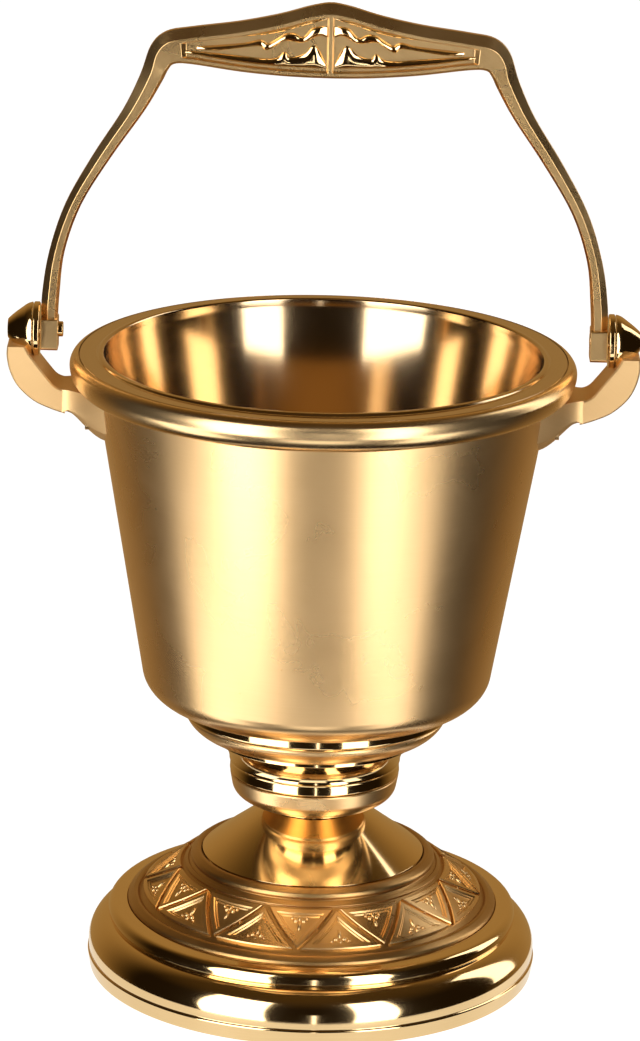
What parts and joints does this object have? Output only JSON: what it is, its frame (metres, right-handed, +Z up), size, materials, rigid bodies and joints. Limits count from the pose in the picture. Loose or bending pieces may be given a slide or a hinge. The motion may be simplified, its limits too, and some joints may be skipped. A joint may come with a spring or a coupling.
{
  "type": "holy water bucket",
  "caption": "Footed brass holy-water bucket with a tapered bowl, rolled rim, removable liner and a swinging bail handle on side lugs.",
  "frame": {"origin": "middle of the foot's resting edge, on the surface that the object stands on", "axes": "+Z up through the middle of the bucket, +X through the right-hand pivot, the front faces -Y"},
  "size_m": [0.2052, 0.1648, 0.3268],
  "materials": {
    "polished_brass": "mirror polished and lacquered",
    "satin_brass": "brushed round the body to a satin, lacquered",
    "liner_brass": "brushed and part polished inside, lacquered",
    "cast_brass": "sand cast, relieved darker in the hollows and polished on the high parts",
    "plated_steel": "zinc plated, dull"
  },
  "bodies": {
    "bucket": {"foot_shell": "polished_brass", "frieze_ring": "cast_brass", "neck_ring": "polished_brass", "knop": "polished_brass", "under_dish": "satin_brass", "bucket_shell": "satin_brass", "rim_ring": "polished_brass", "tie_rod": "plated_steel", "lower_washer": "plated_steel", "upper_washer": "plated_steel", "lower_nut": "plated_steel", "upper_nut": "plated_steel", "lug_left": "cast_brass", "lug_right": "cast_brass", "lug_rivet_left_1": "satin_brass", "lug_rivet_left_2": "satin_brass", "lug_rivet_right_1": "satin_brass", "lug_rivet_right_2": "satin_brass", "thrust_disc_left": "polished_brass", "thrust_disc_right": "polished_brass", "pivot_pin_left": "polished_brass", "pivot_pin_right": "polished_brass"},
    "bail": {"bail_handle": "cast_brass"},
    "liner": {"liner": "liner_brass"}
  },
  "joints": [
    {"name": "bail_swing", "type": "hinge", "parent": "bucket", "child": "bail", "pos_m": [0, 0, 0.2176], "axis": [1, 0, 0], "range_deg": [-121, 121]},
    {"name": "liner_lift", "type": "slide", "parent": "bucket", "child": "liner", "axis": [0, 0, 1], "range_m": [0, 0.04]}
  ]
}
